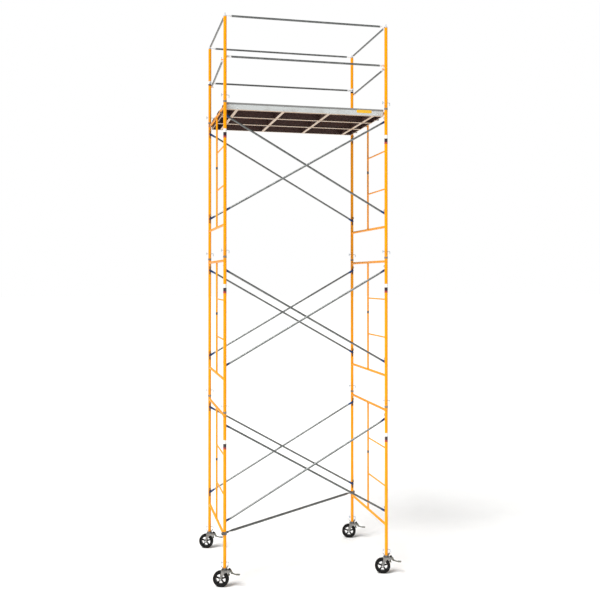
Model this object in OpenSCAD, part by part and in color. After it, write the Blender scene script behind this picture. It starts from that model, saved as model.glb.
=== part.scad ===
// Rolling frame scaffold tower: three lifts of ladder-type end frames, cross braces,
// a planked platform with guardrails, and four locking casters.
// X runs along the bay, Y across the frames (the front is -Y) and Z up from the floor.
// The origin is on the floor, midway between the four legs.

/* [Tower] */
// Bay length between leg centres, along X
bay_length = 2133.6; // [1500:0.1:3000]
// Frame width between leg centres, along Y
frame_width = 1524; // [1100:0.1:2000]
// Length of one frame leg
leg_length = 1930.4; // [1700:0.1:2400]
// Height of the collar between two legs
collar_height = 25.4; // [12:0.1:40]

/* [End frames] */
// Outside diameter of the legs and of the guardrail posts
leg_od = 41.3; // [36:0.1:52]
// Wall of the legs and of the guardrail posts
leg_wall = 2.4; // [1.6:0.1:3.2]
// Outside diameter of the header and of the bottom bar
bar_od = 33.4; // [25:0.1:36]
// Outside diameter of the inner upright
upright_od = 25.4; // [20:0.1:32]
// Outside diameter of the ladder rungs
rung_od = 20; // [16:0.1:24]
// Wall of the header, bottom bar, upright and rungs
bar_wall = 2; // [1.2:0.1:3]
// Header centre below the top of the leg
header_drop = 36; // [30:1:60]
// Distance from the header to the first rung, and from rung to rung
rung_step = 500; // [400:1:520]
// Bottom bar centre above the foot of the leg
bottom_bar_height = 394; // [300:1:460]
// Upper brace stud below the top of the leg
stud_drop = 145; // [140:1:220]
// Distance between the upper and the lower brace stud
stud_spacing = 1219.2; // [900:0.1:1300]

/* [Brace studs and locks] */
// Diameter of the brace studs
stud_od = 14.3; // [12:0.1:18]
// Length of a brace stud from the face of the leg
stud_length = 30; // [28:1:40]
// Diameter of the lock rod
lock_rod_od = 6.4; // [5:0.1:8]
// Clearance all round the lock rod in its guides
lock_clearance = 0.35; // [0.3:0.05:0.6]
// Upward travel that frees a brace
lock_travel = 26; // [10:1:26]

/* [Cross braces] */
// Outside diameter of the brace tubes
brace_od = 25.4; // [20:0.1:30]
// Wall of the brace tubes and of the rails
brace_wall = 1.6; // [1:0.1:2.5]
// Length of a flattened end, from the hole to the round tube
flat_length = 88; // [70:1:110]
// Width of a flattened end
flat_width = 30; // [26:1:38]
// Thickness of a flattened end
flat_thick = 4; // [3:0.1:5]
// Clearance all round a stud in a flattened end
stud_clearance = 0.5; // [0.2:0.1:1]

/* [Plan brace] */
// Outside diameter of the horizontal diagonal brace
plan_brace_od = 32; // [25:0.1:36]
// Gap between the bottom bar and the clamp of the plan brace
plan_clamp_gap = 4; // [2:1:40]
// Height of each clamp
clamp_height = 38; // [30:1:60]

/* [Coupling and toggle pins] */
// Outside diameter of the coupling pins and of the caster stems
coupling_od = 34.9; // [30:0.1:35.5]
// Wall of the coupling pins
coupling_wall = 3.5; // [2:0.1:5]
// Depth of a coupling pin or a caster stem in a leg
coupling_depth = 110; // [90:1:160]
// Outside diameter of the collar of a coupling pin
collar_od = 45; // [42:0.1:56]
// Diameter of the toggle pins
toggle_od = 8; // [6:0.1:10]
// Clearance all round a toggle pin in its holes
toggle_clearance = 0.6; // [0.3:0.1:1]
// Height of a toggle pin above the foot of its tube
toggle_height = 68; // [50:1:80]

/* [Platform] */
// Gap between two planks
plank_gap = 8; // [3:1:20]
// Gap between an outer plank and the legs
plank_side_gap = 9.4; // [5:0.1:20]
// Height of the deck above the top of the top legs
deck_rise = 10; // [0:1:18]
// Depth of the plank side rails
plank_depth = 92; // [80:1:110]
// Thickness of the rail metal
rail_metal = 3; // [2:0.1:4]
// Width of the rail flanges
flange_width = 20; // [14:1:28]
// Thickness of the plywood
ply_thick = 12; // [9:1:18]
// Width of a hook along the header
hook_width = 32; // [24:1:45]
// Thickness of a hook round the header
hook_thick = 7; // [5:0.1:9]
// Clearance between a hook and the header
hook_clearance = 0.4; // [0.2:0.1:1]

/* [Guardrails] */
// Length of the guardrail posts
post_length = 1066.8; // [900:0.1:1200]
// Outside diameter of the rails
rail_od = 25.4; // [20:0.1:30]
// Height of the long mid rails above the collar
mid_rail_height = 562; // [420:1:620]
// Height of the end mid rails above the collar
end_mid_rail_height = 512; // [380:1:540]
// Diameter of the studs that hold the rails
rail_stud_od = 11; // [9:0.1:14]
// Height of the stud on top of each post
top_stud_height = 38; // [30:1:60]

/* [Casters] */
// Wheel diameter over the tyre
wheel_diameter = 203.2; // [170:0.1:250]
// Wheel width over the tyre
wheel_width = 50.8; // [40:0.1:60]
// Height of the swivel head, from the top of the wheel to the foot of the leg
head_height = 36.8; // [36:0.1:60]
// Distance from the swivel axis back to the axle
trail = 48; // [30:1:60]
// Swivel angle at rest, about the leg
swivel_rest = -20; // [-180:1:180]
// Turn of the brake pedal from released to pressed
pedal_travel = 16; // [8:1:18]

/* [Hidden] */
$fn = 48;
lifts = [1, 2, 3];
ends = [-1, 1];
end_names = ["left", "right"];
side_names = ["front", "back"];
corner_names = ["fl", "fr", "bl", "br"];
corner_signs = [[-1, -1], [1, -1], [-1, 1], [1, 1]];
caster_parts = ["stem", "fork", "axle", "rim", "tyre", "pedal"];
planks = [1, 2, 3];

// Room beyond a face that a cut passes through
over = 1;
// Space left between pieces that move past each other
running_gap = 0.3;
// Root gap of a welded or riveted seam between two pieces of metal
seam = 0.06;

leg_r = leg_od / 2;
half_bay = bay_length / 2;
half_width = frame_width / 2;
foot_z = wheel_diameter + head_height;
pitch = leg_length + collar_height;
top_z = foot_z + len(lifts) * pitch - collar_height;
post_foot_z = top_z + collar_height;
post_top_z = post_foot_z + post_length;

function lift_z(lift) = foot_z + (lift - 1) * pitch;
function leg_top_z(lift) = lift_z(lift) + leg_length;

// Basic shapes

module tube(length, od, wall) {
    difference() {
        cylinder(h = length, d = od);
        translate([0, 0, -over]) cylinder(h = length + 2 * over, d = od - 2 * wall);
    }
}

module along_x() {
    rotate([0, 90, 0]) children();
}

module along_y() {
    rotate([-90, 0, 0]) children();
}

// Extrudes an outline in X and Z to a width along Y, centred on Y = 0
module slab_y(width) {
    rotate([90, 0, 0]) linear_extrude(width, center = true) children();
}

// End frames

// Metal of both legs of one frame, filled, for cutting the tubes that meet them
module leg_cores(height) {
    for (y = [-half_width, half_width])
        translate([0, y, -over]) cylinder(h = height + 2 * over, d = leg_od + 2 * seam);
}

// A tube from leg to leg at a height, its ends shaped to the legs
module cross_bar(z, od) {
    difference() {
        translate([0, -half_width, z]) along_y() tube(frame_width, od, bar_wall);
        leg_cores(leg_length);
    }
}

header_z = leg_length - header_drop;
rung_heights = [header_z - rung_step, header_z - 2 * rung_step];
stud_heights = [leg_length - stud_drop, leg_length - stud_drop - stud_spacing];

// Inner upright at the middle of the frame, from bottom bar to header
module inner_upright() {
    difference() {
        translate([0, 0, bottom_bar_height]) tube(header_z - bottom_bar_height, upright_od, bar_wall);
        for (z = [bottom_bar_height, header_z])
            translate([0, -upright_od, z]) along_y() cylinder(h = 2 * upright_od, d = bar_od + 2 * seam);
    }
}

// A ladder rung between the front leg and the inner upright
module rung(z) {
    difference() {
        translate([0, -half_width, z]) along_y() tube(half_width, rung_od, bar_wall);
        leg_cores(leg_length);
        translate([0, 0, z - rung_od]) cylinder(h = 2 * rung_od, d = upright_od + 2 * seam);
    }
}

strip_thick = 4;
strip_width = 16;
strip_reach = 58;
eye_top = 28;
lock_offset = 22;
tip_offset = 6 + flat_thick / 2;

// A brace stud with its guide strip, standing on a leg face at Y = 0 and pointing along +Y
module brace_stud() {
    difference() {
        union() {
            translate([0, -leg_r, 0]) along_y() cylinder(h = leg_r + stud_length, d = stud_od);
            translate([-strip_width / 2, -leg_r / 2, -strip_reach])
                cube([strip_width, leg_r / 2 + strip_thick, strip_reach + eye_top]);
            translate([-strip_width / 2, 0, eye_top - strip_thick])
                cube([strip_width, stud_length, strip_thick]);
        }
        translate([0, -leg_r, -strip_reach - over])
            cylinder(h = strip_reach + 2 * eye_top, d = leg_od + 2 * seam);
        translate([0, lock_offset, -stud_od])
            cylinder(h = 2 * stud_od + eye_top, d = lock_rod_od + 2 * lock_clearance);
    }
}

// Puts its children at every brace stud of a frame, turned to face into the frame
module at_studs(lift, end) {
    for (side = ends, z = stud_heights)
        translate([end * half_bay, side * (half_width - leg_r), lift_z(lift) + z])
            rotate([0, 0, side > 0 ? 180 : 0]) children();
}

module frame_leg() {
    difference() {
        tube(leg_length, leg_od, leg_wall);
        toggle_hole(toggle_height);
    }
}

module end_frame(lift, end) {
    color("#F7A60B") {
        translate([end * half_bay, 0, lift_z(lift)]) {
            for (y = [-half_width, half_width]) translate([0, y, 0]) frame_leg();
            cross_bar(header_z, bar_od);
            cross_bar(bottom_bar_height, bar_od);
            inner_upright();
            for (z = rung_heights) rung(z);
        }
        at_studs(lift, end) brace_stud();
    }
}

// Lock rods with a finger ring, one through the outer end of every brace stud. The ring stands just
// above the eye and, pulled up by the travel, stays below the header

lock_below = 16;
ring_low = eye_top + 0.5;
ring_high = stud_drop - header_drop - bar_od / 2 - lock_travel - 3;
finger_ring_r = (ring_high - ring_low - lock_rod_od) / 2;

module lock_rod() {
    translate([0, lock_offset, 0]) {
        translate([0, 0, -lock_below]) cylinder(h = lock_below + ring_low + lock_rod_od / 2, d = lock_rod_od);
        translate([0, 0, (ring_low + ring_high) / 2]) rotate([90, 0, 0])
            rotate_extrude() translate([finger_ring_r, 0]) circle(d = lock_rod_od);
    }
}

module frame_locks(lift, end) {
    color("#4A4038") at_studs(lift, end) lock_rod();
}

// Tubes with flattened ends

tip_reach = max(flat_width / 2, leg_r) + 3;

// A flat tip round a stud at the origin, its tube towards +X, flat across Y
module flat_tip(hole_d) {
    difference() {
        union() {
            rotate([90, 0, 0]) cylinder(h = flat_thick, d = flat_width, center = true);
            translate([0, -flat_thick / 2, -flat_width / 2]) cube([tip_reach, flat_thick, flat_width]);
        }
        rotate([90, 0, 0]) cylinder(h = flat_thick + 2 * over, d = hole_d, center = true);
    }
}

// The wedge that joins a flat tip to the round tube, whose centre is shifted along Y
module flat_wedge(od, shift) {
    slice = 0.4;
    hull() {
        translate([tip_reach, -flat_thick / 2, -flat_width / 2]) cube([slice, flat_thick, flat_width]);
        translate([flat_length - slice, shift, 0]) along_x() cylinder(h = slice, d = od - 0.2, $fn = 32);
    }
}

// A tube along +X between two studs that are a length apart, flattened at both ends
module flattened_tube(length, od, shift, hole_d) {
    plug = 3;
    for (m = [0, 1]) translate([m * length, 0, 0]) mirror([m, 0, 0]) {
        flat_tip(hole_d);
        flat_wedge(od, shift);
    }
    translate([flat_length, shift, 0]) along_x() difference() {
        cylinder(h = length - 2 * flat_length, d = od);
        translate([0, 0, plug]) cylinder(h = length - 2 * flat_length - 2 * plug, d = od - 2 * brace_wall);
    }
}

brace_angle = atan2(stud_spacing, bay_length);
brace_length = norm([bay_length, stud_spacing]);
brace_shift = brace_od / 2 + 0.3;
brace_hole = stud_od + 2 * stud_clearance;

// Two braces crossed between the frames of one lift, with the rivet that joins them
module brace_pair(lift, side) {
    plane_y = side * (half_width - leg_r - tip_offset);
    low_z = lift_z(lift) + stud_heights[1];
    rivet_od = 8;
    rivet_head = 3;
    rivet_reach = brace_shift + brace_od / 2 + seam;
    color("#A9ABA8") {
        for (end = ends) translate([-end * half_bay, plane_y, low_z])
            rotate([0, -end * brace_angle, 0]) mirror([end > 0 ? 0 : 1, 0, 0]) difference() {
                flattened_tube(brace_length, brace_od, end * side * brace_shift, brace_hole);
                translate([brace_length / 2, 0, 0]) rotate([90, 0, 0])
                    cylinder(h = 6 * brace_od, d = rivet_od + 2 * seam, center = true);
            }
        translate([0, plane_y, low_z + stud_spacing / 2]) rotate([90, 0, 0]) {
            cylinder(h = 2 * rivet_reach, d = rivet_od, center = true);
            for (m = [0, 1]) mirror([0, 0, m]) translate([0, 0, rivet_reach])
                cylinder(h = rivet_head, d1 = 2 * rivet_od, d2 = rivet_od);
        }
    }
}

// Plan brace from the front left leg to the back right leg

plan_angle = atan2(frame_width, bay_length);
plan_span = norm([bay_length, frame_width]);
plan_z = lift_z(1) + bottom_bar_height + bar_od / 2 + plan_clamp_gap + clamp_height / 2;
clamp_wall = 6.5;
clamp_bolt_offset = leg_r + 30;
clamp_bolt_od = 11;
lug_thick = 6;
plan_tip_z = lug_thick / 2 + flat_thick / 2;

// Places its children at a clamped leg, with +X pointing along the plan brace
module at_clamps() {
    for (m = [0, 1]) rotate([0, 0, 180 * m]) translate([-half_bay, -half_width, plan_z])
        rotate([0, 0, plan_angle]) children();
}

module plan_brace() {
    color("#A5A7A3") translate([-half_bay, -half_width, plan_z + plan_tip_z]) rotate([0, 0, plan_angle])
        translate([clamp_bolt_offset, 0, 0]) rotate([90, 0, 0])
            flattened_tube(plan_span - 2 * clamp_bolt_offset, plan_brace_od, 0, clamp_bolt_od + 1);
}

module plan_clamps() {
    ring_r = leg_r + clamp_wall;
    split = 4;
    ear = 20;
    ear_width = 18;
    color("#8E908D") at_clamps() {
        difference() {
            union() {
                cylinder(h = clamp_height, r = ring_r, center = true);
                translate([0, -flat_width / 2, -lug_thick / 2])
                    cube([clamp_bolt_offset, flat_width, lug_thick]);
                translate([clamp_bolt_offset, 0, 0]) cylinder(h = lug_thick, d = flat_width, center = true);
                translate([-ring_r - ear, -ear_width / 2, -clamp_height / 2])
                    cube([ear + clamp_wall, ear_width, clamp_height]);
            }
            cylinder(h = clamp_height + 2 * over, d = leg_od + 2 * seam, center = true);
            translate([-ring_r - ear - over, -split / 2, -clamp_height])
                cube([ear + clamp_wall + 2 * over, split, 2 * clamp_height]);
            translate([clamp_bolt_offset, 0, 0])
                cylinder(h = 2 * lug_thick, d = clamp_bolt_od + 0.5, center = true);
            translate([-ring_r - ear / 2, 0, 0]) along_y()
                cylinder(h = 60, d = clamp_bolt_od + 0.5, center = true);
        }
        // Bolt through the lug and the flat end of the brace
        translate([clamp_bolt_offset, 0, flat_thick / 2]) clamp_bolt(lug_thick + flat_thick);
        // Bolt that draws the clamp tight
        translate([-ring_r - ear / 2, 0, 0]) along_y() clamp_bolt(ear_width);
    }
}

// A bolt centred on the origin that grips a thickness, with a head and a nut
module clamp_bolt(grip) {
    head = 8;
    cylinder(h = grip + 2 * seam, d = clamp_bolt_od, center = true);
    for (m = [0, 1]) mirror([0, 0, m]) translate([0, 0, grip / 2 + seam]) cylinder(h = head, d = 20, $fn = 6);
}

// Coupling pins and toggle pins

module at_corners(z) {
    for (c = corner_signs) translate([c[0] * half_bay, c[1] * half_width, z]) children();
}

module toggle_hole(z) {
    translate([-leg_od, 0, z]) along_x() cylinder(h = 2 * leg_od, d = toggle_od + 2 * toggle_clearance);
}

module coupling_pins() {
    pin_length = 2 * coupling_depth + collar_height;
    color("#7E7F80") for (lift = lifts) at_corners(leg_top_z(lift)) difference() {
        union() {
            translate([0, 0, -coupling_depth]) cylinder(h = pin_length, d = coupling_od);
            translate([0, 0, seam]) cylinder(h = collar_height - 2 * seam, d = collar_od);
        }
        translate([0, 0, -coupling_depth - over])
            cylinder(h = pin_length + 2 * over, d = coupling_od - 2 * coupling_wall);
        toggle_hole(collar_height + toggle_height);
    }
}

toggle_reach = 44;
toggle_bend = 8;
toggle_drop = 28;

// A round pin through the leg, bent down at its +X end, with an upright nose at its -X end
module toggle_pin() {
    nose = [6, 9, 38];
    translate([-toggle_reach, 0, 0]) along_x() cylinder(h = 2 * toggle_reach, d = toggle_od);
    translate([toggle_reach, 0, -toggle_bend]) rotate([90, 0, 0])
        rotate_extrude(angle = 90) translate([toggle_bend, 0]) circle(d = toggle_od);
    translate([toggle_reach + toggle_bend, 0, -toggle_bend - toggle_drop])
        cylinder(h = toggle_drop, d = toggle_od);
    translate([-toggle_reach, 0, 0]) cube(nose, center = true);
}

module toggle_pins() {
    color("#C9CCD0") {
        for (lift = lifts) at_corners(lift_z(lift) + toggle_height) toggle_pin();
        at_corners(post_foot_z + toggle_height) toggle_pin();
    }
}

// Planks that hang on the headers of the top frames

deck_z = top_z + deck_rise;
top_header_z = top_z - header_drop;
plank_width = (frame_width - leg_od - 2 * plank_side_gap - 2 * plank_gap) / 3;
hook_inner_r = bar_od / 2 + hook_clearance;
hook_outer_r = hook_inner_r + hook_thick;
plank_end_x = half_bay - hook_outer_r - 1 - seam;
plank_length = 2 * plank_end_x;
rib_places = [-0.435, -0.145, 0.145, 0.435];
rib_width = 38;
end_beam_thick = 8;
under_ply_z = deck_z - rail_metal - ply_thick;
hook_y = plank_width / 2 - 52;
// Wind latches stand to one side of the middle of a plank, clear of the inner upright
latch_y = 70;
latch_pin_od = 8;
latch_thick = 6;
latch_top = -bar_od / 2 - 3;
latch_notch_top = latch_top + 8;
latch_pivot = [-hook_outer_r - 16, -hook_outer_r - 8];

function plank_y(p) = (p - 2) * (plank_width + plank_gap);

// Side rail of a plank: a channel open to the inside, its outer face at Y = 0, metal towards +Y
module side_rail() {
    translate([-plank_end_x, 0, deck_z - plank_depth]) difference() {
        cube([plank_length, flange_width, plank_depth]);
        translate([-over, rail_metal, rail_metal])
            cube([plank_length + 2 * over, flange_width, plank_depth - 2 * rail_metal]);
    }
}

// Hook over the header at +X: an arch with a straight tongue back to the plank and a tip outside
module hook() {
    tip = 12;
    translate([half_bay, 0, top_header_z]) slab_y(hook_width) {
        difference() {
            circle(r = hook_outer_r);
            circle(r = hook_inner_r);
            translate([-2 * hook_outer_r, -2 * hook_outer_r])
                square([4 * hook_outer_r, 2 * hook_outer_r]);
        }
        translate([hook_inner_r, -tip]) square([hook_thick, tip]);
        translate([-hook_outer_r - 1, -14]) square([hook_thick + 1, 14]);
    }
}

// Ears and pin under the end of a plank, for the wind latch
module latch_ears() {
    ear_thick = 5;
    ear_gap = latch_thick + 1;
    translate([half_bay, 0, top_header_z]) {
        for (side = ends) translate([0, side * (ear_gap + ear_thick) / 2, 0]) slab_y(ear_thick) {
            translate(latch_pivot) circle(r = 9);
            translate([latch_pivot[0] - 9, latch_pivot[1]]) square([18, 24]);
        }
        translate([latch_pivot[0], 0, latch_pivot[1]]) rotate([90, 0, 0])
            cylinder(h = ear_gap + 2 * ear_thick + 6, d = latch_pin_od, center = true);
    }
}

module plank_frame(p) {
    inner_width = plank_width - 2 * rail_metal - 2 * seam;
    beam_z = deck_z - plank_depth + rail_metal + seam;
    beam_height = under_ply_z - seam - beam_z;
    color("#C3C2B4") translate([0, plank_y(p), 0]) {
        for (m = [0, 1]) mirror([0, m, 0]) translate([0, -plank_width / 2, 0]) side_rail();
        for (place = rib_places) translate([place * plank_length - rib_width / 2, -inner_width / 2, beam_z])
            difference() {
                cube([rib_width, inner_width, beam_height]);
                translate([rail_metal, -over, rail_metal])
                    cube([rib_width - 2 * rail_metal, inner_width + 2 * over, beam_height - 2 * rail_metal]);
            }
        for (m = [0, 1]) mirror([m, 0, 0]) {
            for (side = ends) translate([0, side * hook_y, 0]) hook();
            difference() {
                translate([plank_end_x - end_beam_thick, -inner_width / 2, beam_z])
                    cube([end_beam_thick, inner_width, beam_height]);
                translate([half_bay - 4 * leg_od, latch_y - latch_thick / 2 - 0.5, beam_z - over])
                    cube([8 * leg_od, latch_thick + 1, top_header_z + latch_notch_top - beam_z + over]);
            }
            translate([0, latch_y, 0]) latch_ears();
        }
    }
}

// Plywood held by its edges under the flanges, with the middle raised between them
module plank_deck(p) {
    edge_gap = 0.5;
    ply_z = under_ply_z + seam;
    ply_width = plank_width - 2 * rail_metal - 2 * edge_gap;
    open_width = plank_width - 2 * flange_width - 2 * edge_gap;
    color("#7A5238") translate([-plank_end_x + edge_gap, plank_y(p), ply_z]) {
        translate([0, -ply_width / 2, 0])
            cube([plank_length - 2 * edge_gap, ply_width, ply_thick - 2 * seam]);
        translate([0, -open_width / 2, 0])
            cube([plank_length - 2 * edge_gap, open_width, ply_thick + rail_metal / 2]);
    }
}

// Wind latch: a flat arm that pivots on the plank and reaches under the header
module wind_latch() {
    reach = 14;
    translate([half_bay, 0, top_header_z]) difference() {
        slab_y(latch_thick) {
            translate(latch_pivot) circle(r = 9);
            polygon([
                [latch_pivot[0], latch_pivot[1] - 9],
                [reach, latch_pivot[1] - 9],
                [reach + 8, latch_top + 4],
                [reach, latch_top + 4],
                [reach - 4, latch_top],
                [latch_pivot[0] + 4, latch_top],
                [latch_pivot[0], latch_pivot[1] + 9]
            ]);
        }
        translate([latch_pivot[0], 0, latch_pivot[1]]) rotate([90, 0, 0])
            cylinder(h = 2 * latch_thick, d = latch_pin_od + 0.16, center = true);
    }
}

module wind_latches(end) {
    color("#8E908D") for (p = planks)
        translate([0, plank_y(p) + latch_y, 0]) mirror([end > 0 ? 0 : 1, 0, 0]) wind_latch();
}

// Guardrails

rail_hole = rail_stud_od + 2 * stud_clearance;
rail_stud_length = 30;
rail_pin_offset = rail_stud_length - 7;
rail_pin_od = 3.6;
cap_thick = 4;
rail_tip_offset = 2 + flat_thick / 2;
end_rail_offset = leg_od / 2 + rail_tip_offset;
groove_gap = 0.2;
groove_height = 1.8;
groove_depth = 0.8;

// A rail stud on the face of a post, pointing along +Y
module rail_stud() {
    difference() {
        translate([0, -leg_r, 0]) along_y() cylinder(h = leg_r + rail_stud_length, d = rail_stud_od);
        translate([0, -leg_r, -leg_od]) cylinder(h = 2 * leg_od, d = leg_od + 2 * seam);
        translate([0, rail_pin_offset, -leg_od]) cylinder(h = 2 * leg_od, d = rail_pin_od + 0.8);
    }
}

// Puts its children on the posts: facing inwards along Y for the long rails, and for the end rails
// facing -X on the front posts and +X on the back posts, which are the same post turned half round
module at_rail_studs() {
    for (c = corner_signs) {
        translate([c[0] * half_bay, c[1] * (half_width - leg_r), post_foot_z + mid_rail_height])
            rotate([0, 0, c[1] > 0 ? 180 : 0]) children();
        translate([c[0] * half_bay + c[1] * leg_r, c[1] * half_width, post_foot_z + end_mid_rail_height])
            rotate([0, 0, -90 * c[1]]) children();
    }
}

// A groove for a spring ring in a top stud, just above the two rail ends
module ring_groove() {
    difference() {
        children();
        translate([0, 0, cap_thick + 2 * flat_thick + groove_gap]) difference() {
            cylinder(h = groove_height, d = 2 * rail_stud_od);
            translate([0, 0, -over])
                cylinder(h = groove_height + 2 * over, d = rail_stud_od - 2 * groove_depth);
        }
    }
}

module guard_posts() {
    color("#F7A60B") {
        at_corners(post_foot_z) {
            difference() {
                tube(post_length - cap_thick, leg_od, leg_wall);
                toggle_hole(toggle_height);
            }
            translate([0, 0, post_length - cap_thick]) {
                cylinder(h = cap_thick, d = leg_od);
                ring_groove() cylinder(h = cap_thick + top_stud_height, d = rail_stud_od);
            }
        }
        at_rail_studs() rail_stud();
    }
}

module top_rails_long() {
    color("#A9ABA8") for (side = ends) translate([-half_bay, side * half_width, post_top_z + flat_thick / 2])
        rotate([90, 0, 0]) flattened_tube(bay_length, rail_od, 0, rail_hole);
}

module top_rails_end() {
    color("#A9ABA8") for (end = ends)
        translate([end * half_bay, -half_width, post_top_z + 1.5 * flat_thick]) rotate([0, 0, 90])
            rotate([90, 0, 0]) flattened_tube(frame_width, rail_od, 0, rail_hole);
}

module mid_rails_long() {
    color("#A9ABA8") for (side = ends)
        translate([-half_bay, side * (half_width - leg_r - rail_tip_offset), post_foot_z + mid_rail_height])
            flattened_tube(bay_length, rail_od, 0, rail_hole);
}

module mid_rails_end() {
    color("#A9ABA8") for (end = ends)
        translate([end * half_bay - end_rail_offset, -half_width, post_foot_z + end_mid_rail_height])
            rotate([0, 0, atan2(frame_width, 2 * end_rail_offset)])
                flattened_tube(norm([frame_width, 2 * end_rail_offset]), rail_od, 0, rail_hole);
}

// Small pins with a ring through the ends of the mid rail studs
module rail_pins() {
    ring_r = 11;
    color("#B4B6B5") at_rail_studs() translate([0, rail_pin_offset, 0]) {
        translate([0, 0, -14]) cylinder(h = 24, d = rail_pin_od);
        translate([0, 0, 10 + ring_r]) rotate([90, 0, 0])
            rotate_extrude() translate([ring_r, 0]) circle(d = rail_pin_od - 0.6);
    }
}

// Casters, each modelled with its swivel axis on Z and its wheel trailing towards -X

wheel_r = wheel_diameter / 2;
tyre_depth = 20;
rim_r = wheel_r - tyre_depth;
rim_depth = 20;
rim_width = wheel_width - 8;
hub_od = 44;
hub_width = wheel_width + 8;
axle_od = 12.7;
axle_clearance = 0.05;
cheek_inner = hub_width / 2 + 2;
cheek_thick = 5;
cheek_outer = cheek_inner + cheek_thick;
flange_thick = 6;
race_r = 30;
race_height = 8;
crown_thick = 6;
crown_half = 44;
kingpin_od = 16;
crown_top = foot_z - flange_thick - 2 * race_height;
crown_bottom = crown_top - crown_thick;
pedal_pivot = [62, crown_bottom - 6];
pivot_od = 10;
pivot_clearance = 0.06;

module caster_stem() {
    ear_width = 34;
    ear_rise = 30;
    ear_lean = 21;
    ear_thick = 5;
    ear_foot = leg_r + 1;
    kingpin_head = 5;
    kingpin_z = crown_bottom - running_gap - kingpin_head;
    color("#9C9E9B") difference() {
        union() {
            translate([0, 0, foot_z - flange_thick]) {
                cylinder(h = flange_thick - seam, d = leg_od + 12);
                cylinder(h = flange_thick + coupling_depth, d = coupling_od);
                for (m = [0, 1]) mirror([m, 0, 0]) slab_y(ear_width) polygon([
                    [ear_foot, 0],
                    [ear_foot + ear_thick, 0],
                    [ear_foot + ear_thick + ear_lean, ear_rise],
                    [ear_foot + ear_lean, ear_rise + 2]
                ]);
            }
            translate([0, 0, foot_z - flange_thick - race_height + running_gap])
                cylinder(h = race_height - running_gap, r = race_r);
            translate([0, 0, kingpin_z]) cylinder(h = foot_z - crown_bottom, d = kingpin_od);
            translate([0, 0, kingpin_z]) cylinder(h = kingpin_head, d = kingpin_od + 10);
        }
        toggle_hole(foot_z + toggle_height);
    }
}

// Outline in X and Z of one fork cheek, from the crown down to the axle and out to the pedal pivot
module cheek_outline() {
    axle_end_r = 16;
    pivot_end_r = 15;
    polygon([
        [-crown_half, crown_top],
        [crown_half, crown_top],
        [pedal_pivot[0] + 4, pedal_pivot[1] + pivot_end_r],
        [pedal_pivot[0], pedal_pivot[1] - pivot_end_r],
        [6, pedal_pivot[1] - 22],
        [-trail + axle_end_r - 2, wheel_r + 9],
        [-trail - axle_end_r + 2, wheel_r + 9],
        [-crown_half + 6, crown_bottom - 14]
    ]);
    translate(pedal_pivot) circle(r = pivot_end_r);
    translate([-trail, wheel_r]) circle(r = axle_end_r);
}

module caster_fork() {
    color("#A8AAA6") {
        difference() {
            union() {
                for (side = ends) translate([0, side * (cheek_inner + cheek_thick / 2), 0])
                    slab_y(cheek_thick) cheek_outline();
                translate([-crown_half, -cheek_inner, crown_bottom])
                    cube([2 * crown_half, 2 * cheek_inner, crown_thick]);
                translate([0, 0, crown_top]) cylinder(h = race_height, r = race_r);
                translate([pedal_pivot[0], 0, pedal_pivot[1]]) rotate([90, 0, 0])
                    cylinder(h = 2 * cheek_outer + 4, d = pivot_od, center = true);
            }
            translate([0, 0, crown_bottom - over])
                cylinder(h = crown_thick + race_height + 2 * over, d = kingpin_od + 2 * axle_clearance);
            translate([-trail, 0, wheel_r]) rotate([90, 0, 0])
                cylinder(h = 3 * cheek_outer, d = axle_od + 0.3, center = true);
        }
    }
}

module caster_axle() {
    color("#8B8D8B") translate([-trail, 0, wheel_r]) rotate([90, 0, 0]) {
        cylinder(h = 2 * cheek_outer + 6, d = axle_od, center = true);
        translate([0, 0, cheek_outer]) cylinder(h = 8, d = 22, $fn = 6);
        translate([0, 0, -cheek_outer - 8]) cylinder(h = 8, d = 22, $fn = 6);
        for (side = ends) translate([0, 0, side * (hub_width / 2 + running_gap + 0.7)])
            cylinder(h = 1.4, d = 20, center = true);
    }
}

spokes = 5;
spoke_inner_half = 8;
spoke_outer_half = 9.5;
spoke_thick = 18;

module caster_rim() {
    color("#161616") translate([-trail, 0, wheel_r]) rotate([90, 0, 0]) difference() {
        union() {
            cylinder(h = hub_width, d = hub_od, center = true);
            difference() {
                cylinder(h = rim_width, r = rim_r, center = true);
                cylinder(h = rim_width + 2 * over, r = rim_r - rim_depth, center = true);
            }
            for (i = [0 : spokes - 1]) rotate([0, 0, 90 + i * 360 / spokes])
                linear_extrude(spoke_thick, center = true) polygon([
                    [hub_od / 4, -spoke_inner_half],
                    [rim_r - rim_depth / 2, -spoke_outer_half],
                    [rim_r - rim_depth / 2, spoke_outer_half],
                    [hub_od / 4, spoke_inner_half]
                ]);
        }
        cylinder(h = hub_width + 2 * over, d = axle_od + 2 * axle_clearance, center = true);
    }
}

module caster_tyre() {
    shoulder = 9;
    corner = shoulder + over;
    color("#101010") translate([-trail, 0, wheel_r]) rotate([90, 0, 0]) rotate_extrude($fn = 96)
        difference() {
            translate([rim_r + seam, -wheel_width / 2]) square([tyre_depth - seam, wheel_width]);
            for (side = ends) translate([wheel_r - shoulder, side * (wheel_width / 2 - shoulder)])
                difference() {
                    translate([0, side > 0 ? 0 : -corner]) square([corner, corner]);
                    circle(r = shoulder);
                }
        }
}

lever_low = 162;
lever_rise = 12;
lever_mid = 118;
lever_ease = 10;
lever_start = 80;
lever_end = 194;
lever_root = 126;
lever_thick = 7;

// Height of the lever's middle line at a distance from the swivel axis: a smooth step down
function lever_z(x) = lever_low + lever_rise / (1 + exp((x - lever_mid) / lever_ease)) + foot_z - 240;

function lever_line(rise) = [for (x = [lever_start : 6 : lever_end]) [x, lever_z(x) + rise]];

function backwards(line) = [for (i = [len(line) - 1 : -1 : 0]) line[i]];

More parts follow.
